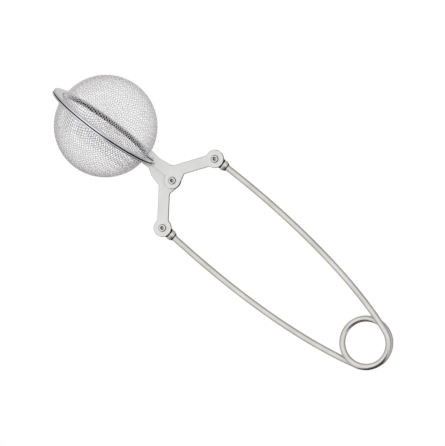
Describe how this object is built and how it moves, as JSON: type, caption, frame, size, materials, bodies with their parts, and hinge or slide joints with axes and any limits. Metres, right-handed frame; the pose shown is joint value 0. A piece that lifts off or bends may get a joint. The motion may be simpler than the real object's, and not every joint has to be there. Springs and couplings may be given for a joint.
{
  "type": "tea infuser",
  "caption": "Snap-ball tea infuser: two woven steel bowls in folded rims on scissor levers, opened by squeezing a coiled spring-wire handle.",
  "frame": {"origin": "centre of the handle's hanging eye, on the plane midway between the two levers", "axes": "+X from the ball towards the hanging eye, along the closed seam; +Y across the seam towards the upper jaw; +Z along the rivets, towards their rolled ends"},
  "size_m": [0.1752, 0.044, 0.0508],
  "materials": {
    "woven_mesh": "bright woven wire",
    "rim_ring": "bright rolled sheet",
    "lever": "satin stamped sheet",
    "rivet": "turned, semi-bright",
    "end_fitting": "satin, pressed",
    "spring_wire": "drawn wire, semi-bright"
  },
  "bodies": {
    "pivot": {"pivot_rivet": "rivet"},
    "upper_jaw": {"upper_mesh_bowl": "woven_mesh", "upper_rim_ring": "rim_ring", "upper_lever": "lever"},
    "lower_jaw": {"lower_mesh_bowl": "woven_mesh", "lower_rim_ring": "rim_ring", "lower_lever": "lever"},
    "upper_handle": {"upper_spring_wire": "spring_wire", "upper_end_fitting": "end_fitting", "upper_handle_rivet": "rivet"},
    "lower_handle": {"lower_spring_wire": "spring_wire", "lower_end_fitting": "end_fitting", "lower_handle_rivet": "rivet"}
  },
  "joints": [
    {"name": "upper_jaw_hinge", "type": "hinge", "parent": "pivot", "child": "upper_jaw", "pos_m": [-0.1028, 0.0047, 0], "axis": [0, 0, -1], "range_deg": [0, 30], "stiffness_Nm_per_rad": 0.17, "springref_deg": -30},
    {"name": "lower_jaw_hinge", "type": "hinge", "parent": "pivot", "child": "lower_jaw", "pos_m": [-0.1028, 0.0047, 0], "axis": [0, 0, 1], "range_deg": [0, 30]},
    {"name": "upper_handle_hinge", "type": "hinge", "parent": "upper_jaw", "child": "upper_handle", "pos_m": [-0.09387, 0.02237, 0], "axis": [0, 0, 1], "range_deg": [0, 33.3]},
    {"name": "lower_handle_hinge", "type": "hinge", "parent": "lower_jaw", "child": "lower_handle", "pos_m": [-0.09475, -0.01339, 0], "axis": [0, 0, -1], "range_deg": [0, 34.9]}
  ],
  "couplings": [
    {"joint": "lower_jaw_hinge", "follows": "upper_jaw_hinge", "ratio": 1},
    {"joint": "upper_handle_hinge", "follows": "upper_jaw_hinge", "ratio": 1.108},
    {"joint": "lower_handle_hinge", "follows": "upper_jaw_hinge", "ratio": 1.16}
  ]
}
